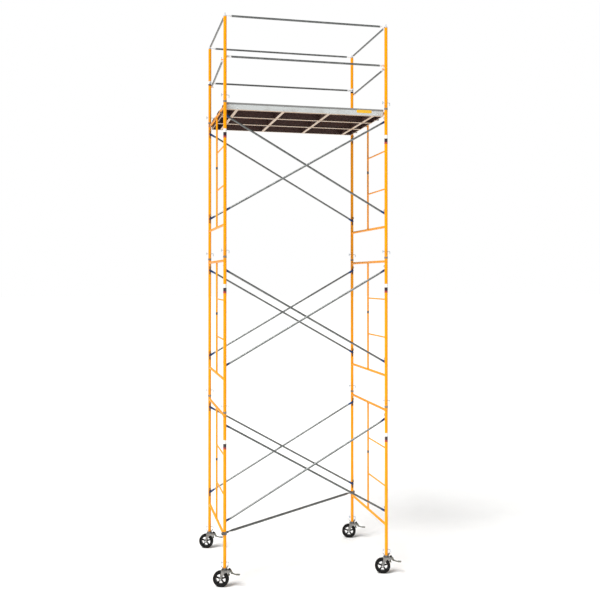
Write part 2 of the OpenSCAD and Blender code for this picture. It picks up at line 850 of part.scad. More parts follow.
module caster_pedal() {
    hub_r = 10.5;
    tread_half = 22;
    pad_gap = 0.4;
    pad_thick = 9;
    pad_half_angle = 8;
    pad_angle = 35;
    tab_top = 30;
    color("#A3A5A1") difference() {
        union() {
            translate([pedal_pivot[0], 0, pedal_pivot[1]]) rotate([90, 0, 0])
                cylinder(h = 2 * cheek_inner - 2 * running_gap, r = hub_r, center = true);
            slab_y(28) polygon(concat(lever_line(-lever_thick / 2), backwards(lever_line(lever_thick / 2))));
            slab_y(20) polygon([
                pedal_pivot + [-2, hub_r - 1],
                pedal_pivot + [26, hub_r - 3],
                pedal_pivot + [38, -22],
                [lever_root, lever_z(lever_root)],
                [lever_start + 4, lever_z(lever_start)],
                pedal_pivot + [2, 1 - hub_r]
            ]);
            intersection() {
                slab_y(2 * tread_half)
                    polygon(concat(lever_line(-lever_thick / 2), backwards(lever_line(lever_thick / 2))));
                union() {
                    translate([lever_end - 46, -tread_half, 0]) cube([46 - 8, 2 * tread_half, foot_z]);
                    for (side = ends) translate([lever_end - 10, side * (tread_half - 10), 0])
                        cylinder(h = foot_z, r = 10);
                    translate([lever_end - 12, -tread_half + 10, 0]) cube([20, 2 * tread_half - 20, foot_z]);
                }
            }
            translate([pedal_pivot[0], 0, pedal_pivot[1]]) rotate([0, -pedal_travel, 0])
                translate([-pedal_pivot[0], 0, -pedal_pivot[1]]) {
                    slab_y(40) intersection() {
                        translate([-trail, wheel_r]) difference() {
                            circle(r = wheel_r + pad_gap + pad_thick);
                            circle(r = wheel_r + pad_gap);
                        }
                        translate([-trail, wheel_r]) polygon([
                            [0, 0],
                            2 * wheel_r * [cos(pad_angle - pad_half_angle), sin(pad_angle - pad_half_angle)],
                            2 * wheel_r * [cos(pad_angle + pad_half_angle), sin(pad_angle + pad_half_angle)]
                        ]);
                    }
                    slab_y(16) translate([-trail, wheel_r]) polygon([
                        (wheel_r + pad_gap + 4) * [cos(pad_angle - 4), sin(pad_angle - 4)],
                        pedal_pivot - [-trail, wheel_r] + [6, -4],
                        pedal_pivot - [-trail, wheel_r] + [-6, 4],
                        (wheel_r + pad_gap + 4) * [cos(pad_angle + 4), sin(pad_angle + 4)]
                    ]);
                }
            translate([pedal_pivot[0] - 4, -11, pedal_pivot[1] + 4]) cube([8, 22, tab_top - 4]);
        }
        translate([pedal_pivot[0], 0, pedal_pivot[1]]) rotate([90, 0, 0])
            cylinder(h = 3 * cheek_outer, d = pivot_od + 2 * pivot_clearance, center = true);
    }
}

// Puts a caster under a leg and turns what swivels to its rest angle
module at_leg(corner, turned) {
    signs = corner_signs[corner];
    translate([signs[0] * half_bay, signs[1] * half_width, 0])
        rotate([0, 0, turned ? swivel_rest : 0]) children();
}

for (lift = lifts, e = [0, 1]) {
    end_frame(lift, ends[e]);
    frame_locks(lift, ends[e]);
    brace_pair(lift, ends[e]);
}
plan_brace();
plan_clamps();
coupling_pins();
toggle_pins();
for (p = planks) {
    plank_frame(p);
    plank_deck(p);
}
for (e = [0, 1]) {
    wind_latches(ends[e]);
}
guard_posts();
top_rails_long();
top_rails_end();
mid_rails_long();
mid_rails_end();
rail_pins();
for (c = [0 : 3]) {
    name = str("caster_", corner_names[c], "_");
    at_leg(c, false) caster_stem();
    at_leg(c, true) caster_fork();
    at_leg(c, true) caster_axle();
    at_leg(c, true) caster_rim();
    at_leg(c, true) caster_tyre();
    at_leg(c, true) caster_pedal();
}
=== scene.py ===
import math

import bpy
import numpy as np
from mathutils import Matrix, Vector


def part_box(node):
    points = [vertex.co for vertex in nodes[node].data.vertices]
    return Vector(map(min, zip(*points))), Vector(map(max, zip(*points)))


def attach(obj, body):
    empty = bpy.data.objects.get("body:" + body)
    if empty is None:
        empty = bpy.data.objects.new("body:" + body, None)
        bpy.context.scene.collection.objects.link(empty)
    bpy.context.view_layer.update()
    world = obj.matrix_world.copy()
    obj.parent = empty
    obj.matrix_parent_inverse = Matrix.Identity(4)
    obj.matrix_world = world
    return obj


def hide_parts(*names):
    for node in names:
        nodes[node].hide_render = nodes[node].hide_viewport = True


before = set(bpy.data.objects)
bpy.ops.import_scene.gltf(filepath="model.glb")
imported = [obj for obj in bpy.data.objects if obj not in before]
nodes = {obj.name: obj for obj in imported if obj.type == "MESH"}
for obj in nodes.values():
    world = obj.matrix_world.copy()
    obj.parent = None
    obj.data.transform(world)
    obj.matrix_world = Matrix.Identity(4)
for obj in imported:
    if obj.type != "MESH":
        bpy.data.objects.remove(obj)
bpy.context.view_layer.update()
print("frame loaded:", len(nodes), "CAD pieces")

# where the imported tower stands, in metres
frameLow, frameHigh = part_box("frame_1_right")
legRadius = (frameHigh.x - frameLow.x) / 2
legX = (frameHigh.x + frameLow.x) / 2
legY = frameHigh.y - legRadius
footZ = frameLow.z
legLength = frameHigh.z - frameLow.z
liftFeet = [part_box("frame_%d_right" % lift)[0].z for lift in (1, 2, 3)]
liftPitch = liftFeet[1] - liftFeet[0]
collarRise = (legLength + liftPitch) / 2      # from a foot to the middle of the collar above it
corners = {"fl": (-1, -1), "fr": (1, -1), "bl": (-1, 1), "br": (1, 1)}


# place in metres, level heading, upward pitch in radians, lens and sensor in mm
cameraLook = {"place": (-2.540, -11.007, 3.870), "heading": (0.2231, 0.9748), "pitch": 0.0068,
              "lens": 49.26, "sensor": 36.0, "shift": (0.0125, -0.0458), "farthest": 400.0}


def makeCamera():
    # the view axis is the heading tipped up by the pitch; the camera's own axes are built round it
    c = cameraLook
    level = np.array([*c["heading"], 0.0]) / np.hypot(*c["heading"])
    ahead = level * math.cos(c["pitch"]) + np.array([0, 0, math.sin(c["pitch"])])
    right = np.cross(ahead, [0, 0, 1])
    right /= np.linalg.norm(right)
    turn = np.eye(4)
    turn[:3, 0], turn[:3, 1], turn[:3, 2] = right, np.cross(right, ahead), -ahead
    turn[:3, 3] = c["place"]
    data = bpy.data.cameras.new("camera")
    data.lens, data.sensor_width = c["lens"], c["sensor"]
    data.shift_x, data.shift_y = c["shift"]
    data.clip_end = c["farthest"]
    camera = bpy.data.objects.new("camera", data)
    camera.matrix_world = turn.T.tolist()
    bpy.context.scene.collection.objects.link(camera)
    bpy.context.scene.camera = camera


# a sun has a power and a spread in degrees; a panel has a size in metres and a power in watts
lightLook = {
    "key": {"kind": "SUN", "place": (-7, -5, 12), "aim": (0, 0, 0), "power": 3.5, "spread": 30},
    "back": {"kind": "AREA", "place": (4, 12, 8), "aim": (0, 0, 3.6), "size": (7, 7), "power": 160},
}


def makeLights():
    # a broad sun and a big soft panel, each turned so that it looks at its aim
    for name, look in lightLook.items():
        data = bpy.data.lights.new(name, look["kind"])
        data.energy = look["power"]
        if look["kind"] == "SUN":
            data.angle = math.radians(look["spread"])
        else:
            data.shape = "RECTANGLE"
            data.size, data.size_y = look["size"]
        lamp = bpy.data.objects.new(name, data)
        away = np.array(look["place"], float) - np.array(look["aim"], float)
        away /= np.linalg.norm(away)
        side = np.cross([0, 0, 1], away)
        side /= np.linalg.norm(side)
        turn = np.eye(4)
        turn[:3, 0], turn[:3, 1], turn[:3, 2], turn[:3, 3] = side, np.cross(away, side), away, look["place"]
        lamp.matrix_world = turn.T.tolist()
        bpy.context.scene.collection.objects.link(lamp)


def linear(hexText):
    # an sRGB hex value as linear red, green and blue, with alpha 1
    value = np.array([int(hexText[i:i + 2], 16) for i in (1, 3, 5)]) / 255
    value = np.where(value <= 0.04045, value / 12.92, ((value + 0.055) / 1.055) ** 2.4)
    return (*value.tolist(), 1.0)


def addNode(tree, kind, inputs, take=0, **settings):
    # one node with its settings and links; gives back the output that is asked for
    node = tree.nodes.new("ShaderNode" + kind)
    for name, value in settings.items():
        setattr(node, name, value)
    for key, value in inputs.items():
        if isinstance(value, bpy.types.NodeSocket):
            tree.links.new(value, node.inputs[key])
        else:
            node.inputs[key].default_value = value
    return node.outputs[take] if len(node.outputs) else node


def openMaterial(name):
    # an empty tree, and the piece's own coordinates in metres
    material = bpy.data.materials.new(name)
    material.use_nodes = True
    material.node_tree.nodes.clear()
    return material, material.node_tree, addNode(material.node_tree, "TexCoord", {}, "Object")


def closeMaterial(tree, colour, roughness, height, depth, sockets):
    # relief as a bump of the given depth in metres, the surface shader and the output
    relief = addNode(tree, "Bump", {"Height": height, "Distance": depth, "Strength": 1.0})
    surface = addNode(tree, "BsdfPrincipled", {"Base Color": colour, "Roughness": roughness, "Normal": relief,
                                               **sockets})
    addNode(tree, "OutputMaterial", {"Surface": surface})


noiseLook = {"detail": 5.0, "roughness": 0.6}


def patches(tree, place, size, low, high, amount=1.0, stretch=(1, 1, 1)):
    # mask of irregular patches: noise whose features are size metres wide, cut between two levels. Every
    # patch in the dictionaries below gives these values in this order
    scaled = addNode(tree, "Mapping", {"Vector": place, "Scale": tuple(1 / (size * s) for s in stretch)})
    cloud = addNode(tree, "TexNoise", {"Vector": scaled, "Scale": 1.0, "Detail": noiseLook["detail"],
                                      "Roughness": noiseLook["roughness"]})
    return addNode(tree, "MapRange", {"Value": cloud, "From Min": low, "From Max": high, "To Max": amount})


edgePatch = (0.02, 0.3, 0.7, 0.012)


def beyond(tree, place, axis, start, fade):
    # mask that rises where the distance from the middle plane, along one axis, passes the start;
    # its edge wanders by a few millimetres, as a dipped or brushed edge does
    along = addNode(tree, "SeparateXYZ", {0: place}, axis)
    far = addNode(tree, "Math", {0: along}, operation="ABSOLUTE")
    wander = patches(tree, place, *edgePatch)
    edge = addNode(tree, "Math", {0: far, 1: wander}, operation="ADD")
    return addNode(tree, "MapRange", {"Value": edge, "From Min": start, "From Max": start + fade})


enamelLook = {"colour": "#FFA400", "shade": "#FB9E00", "scuff": "#F9AE2C", "dirt": "#A87433", "rust": "#6B4429",
              "bare": "#4B3D33", "zinc": "#B4BAC0", "tonePatch": (0.20, 0.35, 0.70),
              "scuffPatch": (0.03, 0.62, 0.76, 0.35, (1, 1, 9)), "dirtPatch": (0.05, 0.40, 0.75, 0.6),
              "jointChipPatch": (0.02, 0.62, 0.65), "chipPatch": (0.02, 0.735, 0.755), "wear": (0.16, 0.02),
              "peelPatch": (0.009, 0.2, 0.8, 0.3), "depth": 0.0006, "rough": (0.30, 0.42), "gloss": 0.18,
              "guideHeights": (1.7704, 0.5512), "guideHalf": 0.0435, "guideDepth": 0.0315}


def orangeEnamel():
    # alkyd enamel baked on steel tube: an even, softly glossy orange-yellow, scuffed along the tubes,
    # with dirt and rusty chips where the legs are knocked together
    e = enamelLook
    material, tree, place = openMaterial("baked_orange_enamel")
    tone = patches(tree, place, *e["tonePatch"])
    colour = addNode(tree, "Mix", {0: tone, 6: linear(e["colour"]), 7: linear(e["shade"])}, 2, data_type="RGBA")
    scuff = patches(tree, place, *e["scuffPatch"])
    colour = addNode(tree, "Mix", {0: scuff, 6: colour, 7: linear(e["scuff"])}, 2, data_type="RGBA")
    height = addNode(tree, "SeparateXYZ", {0: place}, "Z")
    above = addNode(tree, "Math", {0: height, 1: footZ}, operation="SUBTRACT")
    toJoint = addNode(tree, "Math", {0: above, 1: liftPitch / 2}, operation="PINGPONG")
    near = addNode(tree, "MapRange", {"Value": toJoint, "From Min": e["wear"][0], "From Max": e["wear"][1]})
    dirt = addNode(tree, "Math", {0: near, 1: patches(tree, place, *e["dirtPatch"])}, operation="MULTIPLY")
    colour = addNode(tree, "Mix", {0: dirt, 6: colour, 7: linear(e["dirt"])}, 2, data_type="RGBA")
    jointChips = addNode(tree, "Math", {0: near, 1: patches(tree, place, *e["jointChipPatch"])},
                         operation="MULTIPLY")
    chips = addNode(tree, "Math", {0: jointChips, 1: patches(tree, place, *e["chipPatch"])},
                    operation="MAXIMUM")
    colour = addNode(tree, "Mix", {0: chips, 6: colour, 7: linear(e["rust"])}, 2, data_type="RGBA")
    # the brace studs and their guides are left bare and have darkened; the studs on the posts are zinc
    aside = addNode(tree, "Math", {0: addNode(tree, "SeparateXYZ", {0: place}, "Y")}, operation="ABSOLUTE")
    guideMiddle = legY - legRadius - e["guideDepth"] / 2
    inFrame = addNode(tree, "Math", {0: aside, 1: guideMiddle, 2: e["guideDepth"] / 2}, operation="COMPARE")
    inLift = addNode(tree, "Math", {0: above, 1: liftPitch}, operation="MODULO")
    zones = [addNode(tree, "Math", {0: inLift, 1: z, 2: e["guideHalf"]}, operation="COMPARE")
             for z in e["guideHeights"]]
    zone = addNode(tree, "Math", {0: zones[0], 1: zones[1]}, operation="MAXIMUM")
    bare = addNode(tree, "Math", {0: inFrame, 1: zone}, operation="MULTIPLY")
    colour = addNode(tree, "Mix", {0: bare, 6: colour, 7: linear(e["bare"])}, 2, data_type="RGBA")
    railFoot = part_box("top_rails_long")[0].z + 0.001
    onPost = addNode(tree, "Math", {0: height, 1: railFoot}, operation="GREATER_THAN")
    colour = addNode(tree, "Mix", {0: onPost, 6: colour, 7: linear(e["zinc"])}, 2, data_type="RGBA")
    roughness = addNode(tree, "MapRange", {"Value": tone, "To Min": e["rough"][0], "To Max": e["rough"][1]})
    # orange peel of 2 mm, drawn at 9 mm so that it shows
    peel = patches(tree, place, *e["peelPatch"])
    relief = addNode(tree, "Math", {0: peel, 1: chips}, operation="SUBTRACT")
    closeMaterial(tree, colour, roughness, relief, e["depth"], {"IOR": 1.5, "Specular IOR Level": e["gloss"]})
    return material


zincLook = {"light": "#808382", "dark": "#656867", "bloom": "#999B98", "dirt": "#5A564E", "spangle": 0.016,
            "grainLevels": (0.1, 0.9), "bloomPatch": (0.11, 0.52, 0.75, 0.6),
            "dirtPatch": (0.045, 0.60, 0.80, 0.7), "pitPatch": (0.006, 0.2, 0.8), "metallic": 0.85,
            "rough": (0.34, 0.52), "depth": 0.0003}
tipLooks = {
    "braces": {"axis": "X", "start": 1.004, "fade": 0.014, "colour": "#053C78", "metallic": 0.0},
    # the rail ends are bright zinc, drawn near-white and mostly matt, which adds a painted sheen
    "long_rails": {"axis": "X", "start": 0.985, "fade": 0.012, "colour": "#F0F1F2", "metallic": 0.3},
    "end_rails": {"axis": "Y", "start": 0.672, "fade": 0.012, "colour": "#F0F1F2", "metallic": 0.3},
    "plain": None,
}


def galvanisedTube(use):
    # hot-dip galvanised steel tube: dull grey zinc crystals, pale bloom and a little dirt;
    # the pressed-flat ends are painted blue on the braces and left bright on the rails, drawn near-white and
    # mostly matt: bright zinc with a painted sheen
    z, tip = zincLook, tipLooks[use]
    material, tree, place = openMaterial("galvanised_steel_" + use)
    # crystals of 8 mm, drawn at 16 mm so that they show
    crystal = addNode(tree, "TexVoronoi", {"Vector": place, "Scale": 1 / z["spangle"]}, "Color")
    grain = addNode(tree, "MapRange", {"Value": crystal, "From Min": z["grainLevels"][0],
                                       "From Max": z["grainLevels"][1]})
    colour = addNode(tree, "Mix", {0: grain, 6: linear(z["dark"]), 7: linear(z["light"])}, 2, data_type="RGBA")
    bloom = patches(tree, place, *z["bloomPatch"])
    colour = addNode(tree, "Mix", {0: bloom, 6: colour, 7: linear(z["bloom"])}, 2, data_type="RGBA")
    dirt = patches(tree, place, *z["dirtPatch"])
    colour = addNode(tree, "Mix", {0: dirt, 6: colour, 7: linear(z["dirt"])}, 2, data_type="RGBA")
    metallic = z["metallic"]
    if tip:
        flat = beyond(tree, place, tip["axis"], tip["start"], tip["fade"])
        colour = addNode(tree, "Mix", {0: flat, 6: colour, 7: linear(tip["colour"])}, 2, data_type="RGBA")
        metallic = addNode(tree, "MapRange", {"Value": flat, "To Min": z["metallic"],
                                              "To Max": tip["metallic"]})
    roughness = addNode(tree, "MapRange", {"Value": bloom, "To Min": z["rough"][0], "To Max": z["rough"][1]})
    relief = addNode(tree, "Math", {0: grain, 1: patches(tree, place, *z["pitPatch"])}, operation="ADD")
    closeMaterial(tree, colour, roughness, relief, z["depth"], {"Metallic": metallic})
    return material


# of the patterns that all the small fittings share, sizes and amounts; the scratches are a patch
metalLook = {"mottleLevels": (0.3, 0.7), "stainScale": 1.7, "stainLevels": (0.58, 0.72, 0.8), "depth": 0.0004,
             "scratchPatch": (0.002, 0.45, 0.65, 0.5, (12, 1, 1))}
metalLooks = {
    "rusty_drawn_steel_rod": {"light": "#46352B", "dark": "#211915", "stain": "#6A4226", "size": 0.02,
                              "metallic": 0.35, "rough": (0.50, 0.80)},
    "forged_clamp_steel": {"light": "#8B8A86", "dark": "#5C5B58", "stain": "#6E5238", "size": 0.03,
                           "metallic": 0.75, "rough": (0.45, 0.70)},
    "dull_zinc_plated_pin": {"light": "#C9D6E4", "dark": "#A9B9CA", "stain": "#7D8894", "size": 0.02,
                             "metallic": 0.45, "rough": (0.35, 0.55)},
    "coupling_collar_steel": {"light": "#AE9F8C", "dark": "#857867", "stain": "#6E4A28", "size": 0.03,
                              "metallic": 0.75, "rough": (0.45, 0.70)},
    "bright_zinc_rod": {"light": "#DADDDF", "dark": "#B0B4B7", "stain": "#8C887E", "size": 0.02,
                        "metallic": 0.95, "rough": (0.22, 0.38)},
    "zinc_plated_pressing": {"light": "#9C9B98", "dark": "#6B6A68", "stain": "#5A4F42", "size": 0.035,
                             "metallic": 0.90, "rough": (0.30, 0.48)},
    "lever_plate_steel": {"light": "#86867C", "dark": "#5D5D55", "stain": "#463F34", "size": 0.03,
                          "metallic": 0.80, "rough": (0.35, 0.60)},
}


def workedSteel(name):
    # small steel fittings, forged, pressed or drawn and then plated: mottled metal with stains in the
    # hollows of the noise and fine scratches; the rods of the brace locks have mostly rusted
    m, shared = metalLooks[name], metalLook
    material, tree, place = openMaterial(name)
    mottle = patches(tree, place, m["size"], *shared["mottleLevels"])
    colour = addNode(tree, "Mix", {0: mottle, 6: linear(m["dark"]), 7: linear(m["light"])}, 2, data_type="RGBA")
    stain = patches(tree, place, m["size"] * shared["stainScale"], *shared["stainLevels"])
    colour = addNode(tree, "Mix", {0: stain, 6: colour, 7: linear(m["stain"])}, 2, data_type="RGBA")
    roughness = addNode(tree, "MapRange", {"Value": stain, "To Min": m["rough"][0], "To Max": m["rough"][1]})
    # scratches 0.2 mm wide, drawn at 2 mm
    scratch = patches(tree, place, *shared["scratchPatch"])
    relief = addNode(tree, "Math", {0: mottle, 1: scratch}, operation="ADD")
    closeMaterial(tree, colour, roughness, relief, shared["depth"], {"Metallic": m["metallic"]})
    return material


plankLook = {"light": "#E6EAE9", "dark": "#CDD1D0", "topBand": "#7F7E7C", "rib": "#C2AB93", "inner": "#4C3631",
             "stain": "#B3B1AC", "topBandDepth": 0.024, "topBandEdge": 0.002, "topBandAmount": 0.85, "ribFace": 0.006,
             "webAt": 0.2385, "edge": 0.001, "depth": 0.092, "linePatch": (0.004, 0.3, 0.7, 1.0, (220, 1, 1)),
             "cloudPatch": (0.15, 0.50, 0.75, 0.6), "metallic": 0.35, "rough": (0.40, 0.58),
             "lineDepth": 0.0003}


def plankAluminium():
    # mill-finish aluminium extrusion: pale grey, lines drawn along it by the die, a darker grey band
    # along the top of the rails, and cross ribs that have gone tan with dust and resin
    p = plankLook
    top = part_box("plank_1_frame")[1].z
    material, tree, place = openMaterial("mill_finish_aluminium")
    lines = patches(tree, place, *p["linePatch"])
    colour = addNode(tree, "Mix", {0: lines, 6: linear(p["dark"]), 7: linear(p["light"])}, 2, data_type="RGBA")
    cloud = patches(tree, place, *p["cloudPatch"])
    colour = addNode(tree, "Mix", {0: cloud, 6: colour, 7: linear(p["stain"])}, 2, data_type="RGBA")
    height = addNode(tree, "SeparateXYZ", {0: place}, "Z")
    # the top 24 mm of the rails is drawn a darker grey, fading in over 2 mm
    topBandFoot = top - p["topBandDepth"]
    topBand = addNode(tree, "MapRange", {"Value": height, "From Min": topBandFoot - p["topBandEdge"], "From Max": topBandFoot,
                                     "To Max": p["topBandAmount"]})
    colour = addNode(tree, "Mix", {0: topBand, 6: colour, 7: linear(p["topBand"])}, 2, data_type="RGBA")
    # the ribs lie inside each plank's side channels: the distance from the plank's own middle line is small
    across = addNode(tree, "SeparateXYZ", {0: place}, "Y")
    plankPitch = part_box("plank_2_frame")[0].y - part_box("plank_1_frame")[0].y
    fromMiddle = addNode(tree, "Math", {0: across, 1: plankPitch}, operation="PINGPONG")
    folded = addNode(tree, "Math", {0: fromMiddle, 1: plankPitch / 2}, operation="LESS_THAN")
    flipped = addNode(tree, "Math", {0: plankPitch, 1: fromMiddle}, operation="SUBTRACT")
    distance = addNode(tree, "Mix", {0: folded, 2: flipped, 3: fromMiddle}, 0)
    # inside the side channels, under the deck, the aluminium is painted dark brown: painted shade
    shadedInside = addNode(tree, "MapRange", {"Value": distance, "From Min": p["webAt"] + p["edge"],
                                        "From Max": p["webAt"]})
    colour = addNode(tree, "Mix", {0: shadedInside, 6: colour, 7: linear(p["inner"])}, 2, data_type="RGBA")
    ribFace = top - p["depth"] + p["ribFace"]
    under = addNode(tree, "MapRange", {"Value": height, "From Min": ribFace + p["edge"], "From Max": ribFace})
    colour = addNode(tree, "Mix", {0: under, 6: colour, 7: linear(p["rib"])}, 2, data_type="RGBA")
    # the painted shade inside the channels and the dusty tan rib faces are both drawn matt
    shadeAndDust = addNode(tree, "Math", {0: shadedInside, 1: under}, operation="MAXIMUM")
    metallic = addNode(tree, "MapRange", {"Value": shadeAndDust, "To Min": p["metallic"], "To Max": 0.0})
    roughness = addNode(tree, "MapRange", {"Value": cloud, "To Min": p["rough"][0], "To Max": p["rough"][1]})
    closeMaterial(tree, colour, roughness, lines, p["lineDepth"], {"Metallic": metallic})
    return material


deckLook = {"film": "#452F2A", "worn": "#5C4238", "grain": "#33211B", "dust": "#7A6858", "mesh": 0.018,
            "grainPatch": (0.012, 0.35, 0.70, 0.8, (25, 1, 1)), "wornPatch": (0.16, 0.48, 0.70, 0.7, (3, 1, 1)),
            "dustPatch": (0.05, 0.62, 0.80, 0.35), "meshStray": 0.15, "grooveLevels": (0.02, 0.12),
            "rough": (0.42, 0.72), "depth": 0.0006}


def deckPlywood():
    # resin-faced plywood: dark brown film pressed with a wire-mesh grip, trodden paler along the middle,
    # with the grain of the veneer showing through and dust in the mesh
    d = deckLook
    material, tree, place = openMaterial("resin_faced_plywood")
    grain = patches(tree, place, *d["grainPatch"])
    colour = addNode(tree, "Mix", {0: grain, 6: linear(d["film"]), 7: linear(d["grain"])}, 2, data_type="RGBA")
    worn = patches(tree, place, *d["wornPatch"])
    colour = addNode(tree, "Mix", {0: worn, 6: colour, 7: linear(d["worn"])}, 2, data_type="RGBA")
    dust = patches(tree, place, *d["dustPatch"])
    colour = addNode(tree, "Mix", {0: dust, 6: colour, 7: linear(d["dust"])}, 2, data_type="RGBA")
    # mesh print of 6 mm, drawn at 18 mm
    mesh = addNode(tree, "TexVoronoi", {"Vector": place, "Scale": 1 / d["mesh"], "Randomness": d["meshStray"]},
                   "Distance", feature="DISTANCE_TO_EDGE")
    groove = addNode(tree, "MapRange", {"Value": mesh, "From Min": d["grooveLevels"][0],
                                        "From Max": d["grooveLevels"][1]})
    roughness = addNode(tree, "MapRange", {"Value": worn, "To Min": d["rough"][0], "To Max": d["rough"][1]})
    relief = addNode(tree, "Math", {0: groove, 1: grain}, operation="SUBTRACT")
    closeMaterial(tree, colour, roughness, relief, d["depth"], {"IOR": 1.5})
    return material


darkLooks = {
    "black_rim_enamel": {"colour": "#060607", "dust": "#2C2A28", "dustPatch": (0.03, 0.55, 0.80, 0.30),
                         "rough": (0.34, 0.60), "grainPatch": (0.012, 0.3, 0.7), "depth": 0.0004},
    "moulded_tyre_rubber": {"colour": "#0E0E0E", "dust": "#4A4640", "dustPatch": (0.03, 0.52, 0.80, 0.35),
                            "rough": (0.72, 0.92), "grainPatch": (0.005, 0.3, 0.7), "depth": 0.0006},
    "moulded_cap_rubber": {"colour": "#262420", "dust": "#6E6860", "dustPatch": (0.03, 0.55, 0.80, 0.35),
                           "rough": (0.60, 0.85), "grainPatch": (0.004, 0.3, 0.7), "depth": 0.0004},
}


def darkFinish(name):
    # black stove enamel on the cast rims, and black moulded rubber: both near black, greyed by floor dust
    d = darkLooks[name]
    material, tree, place = openMaterial(name)
    dust = patches(tree, place, *d["dustPatch"])
    colour = addNode(tree, "Mix", {0: dust, 6: linear(d["colour"]), 7: linear(d["dust"])}, 2, data_type="RGBA")
    roughness = addNode(tree, "MapRange", {"Value": dust, "To Min": d["rough"][0], "To Max": d["rough"][1]})
    grain = patches(tree, place, *d["grainPatch"])
    closeMaterial(tree, colour, roughness, grain, d["depth"], {"IOR": 1.5, "Specular IOR Level": 0.2})
    return material


finishOf = {}      # CAD piece name, or its beginning, to its material


def dressNodes():
    fittings = {name: workedSteel(name) for name in metalLooks}
    tubes = {use: galvanisedTube(use) for use in tipLooks}
    finishOf.update({
        "frame_": orangeEnamel(), "locks_": fittings["rusty_drawn_steel_rod"], "braces_": tubes["braces"],
        "plan_brace": tubes["plain"], "plan_clamps": fittings["forged_clamp_steel"],
        "coupling_pins": fittings["coupling_collar_steel"], "toggle_pins": fittings["dull_zinc_plated_pin"],
        "wind_latches_": fittings["bright_zinc_rod"], "top_rails_long": tubes["long_rails"],
        "mid_rails_long": tubes["long_rails"], "top_rails_end": tubes["end_rails"],
        "mid_rails_end": tubes["end_rails"], "rail_pins": fittings["bright_zinc_rod"],
        "_frame": plankAluminium(), "_deck": deckPlywood(), "_stem": fittings["zinc_plated_pressing"],
        "_fork": fittings["zinc_plated_pressing"], "_axle": fittings["bright_zinc_rod"],
        "_pedal": fittings["lever_plate_steel"], "_rim": darkFinish("black_rim_enamel"),
        "_tyre": darkFinish("moulded_tyre_rubber")})
    finishOf["guard_posts"] = finishOf["frame_"]
    for name, node in nodes.items():
        key = [k for k in finishOf if name.startswith(k) or name.endswith(k)][0]
        node.data.materials.clear()
        node.data.materials.append(finishOf[key])


def shell(rings, poles):
    # rings of points, one after another, with quads between neighbours. With poles, the first and last rings
    # shrink to their middle point; without, the last ring joins the first, as in a torus
    count, around = rings.shape[:2]
    j = np.arange(around)
    k = (j + 1) % around
    if poles:
        points = np.vstack([rings[1:-1].reshape(-1, 3), rings[0].mean(0), rings[-1].mean(0)])
        i = np.arange(count - 3)[:, None] * around
        quads = np.stack([i + j, i + k, i + around + k, i + around + j], -1).reshape(-1, 4)
        last = (count - 3) * around
        fans = [np.stack([np.full(around, len(points) - 2), k, j], -1),
                np.stack([np.full(around, len(points) - 1), last + j, last + k], -1)]
    else:
        points = rings.reshape(-1, 3)
        i = np.arange(count)[:, None]
        here, after = i * around, (i + 1) % count * around
        quads = np.stack([here + j, here + k, after + k, after + j], -1).reshape(-1, 4)
        fans = []
    # the volume under the faces is negative when they point inwards
    thirds = np.vstack([quads[:, :3], quads[:, [0, 2, 3]], *fans])
    a, b, c = (points[thirds[:, q]] for q in range(3))
    if np.einsum("ij,ij->", a, np.cross(b, c)) < 0:
        quads, fans = quads[:, ::-1], [f[:, ::-1] for f in fans]
    return points, [quads, *fans]


def makePiece(name, shells, material, body, sharp=40):
    # closed shells joined in one mesh, whose place is in its points
    points, faces, start = [], [], 0
    for shellPoints, shellFaces in shells:
        points.append(shellPoints)
        for block in shellFaces:
            faces.extend((block + start).tolist())
        start += len(shellPoints)
    mesh = bpy.data.meshes.new(name)
    mesh.from_pydata(np.vstack(points).tolist(), [], faces)
    mesh.materials.append(material)
    mesh.shade_smooth()
    mesh.set_sharp_from_angle(angle=math.radians(sharp))
    mesh.update()
    piece = bpy.data.objects.new(name, mesh)
    bpy.context.scene.collection.objects.link(piece)
    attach(piece, body)
    return piece


def turned(profile, centre, axis, around):
    # each profile point (r, h) is carried round the axis: centre + h axis + r (cos t side + sin t up)
    axis = np.array(axis, float) / np.linalg.norm(axis)
    side = np.cross(axis, [0, 0, 1] if abs(axis[2]) < 0.9 else [1, 0, 0])
    side /= np.linalg.norm(side)
    t = np.linspace(0, 2 * np.pi, around, endpoint=False)[None, :, None]
    r, h = (np.array(profile, float)[:, q][:, None, None] for q in (0, 1))
    return np.array(centre, float) + h * axis + r * (np.cos(t) * side + np.sin(t) * np.cross(axis, side))


def head(centre, axis, radius, height, around=14):
    # rivet or screw head: r = radius cos a, h = height sin a from its crown down, closed a little below
    # its seat
    a = np.radians([90, 62, 36, 14, 0])      # finer towards the rim, where the curve shows
    profile = np.vstack([np.stack([radius * np.cos(a), height * np.sin(a)], -1),
                         [radius, -height / 2], [0, -height / 2]])
    return shell(turned(profile, centre, axis, around), True)


weldLook = {"radius": 0.0036, "swell": 0.16, "ripples": 15, "around": 60, "section": 8,
            "barRadius": 0.0167, "uprightRadius": 0.0127, "rungRadius": 0.010,
            "headerHeight": 1.8944, "bottomHeight": 0.394, "rungHeights": (1.3944, 0.8944)}


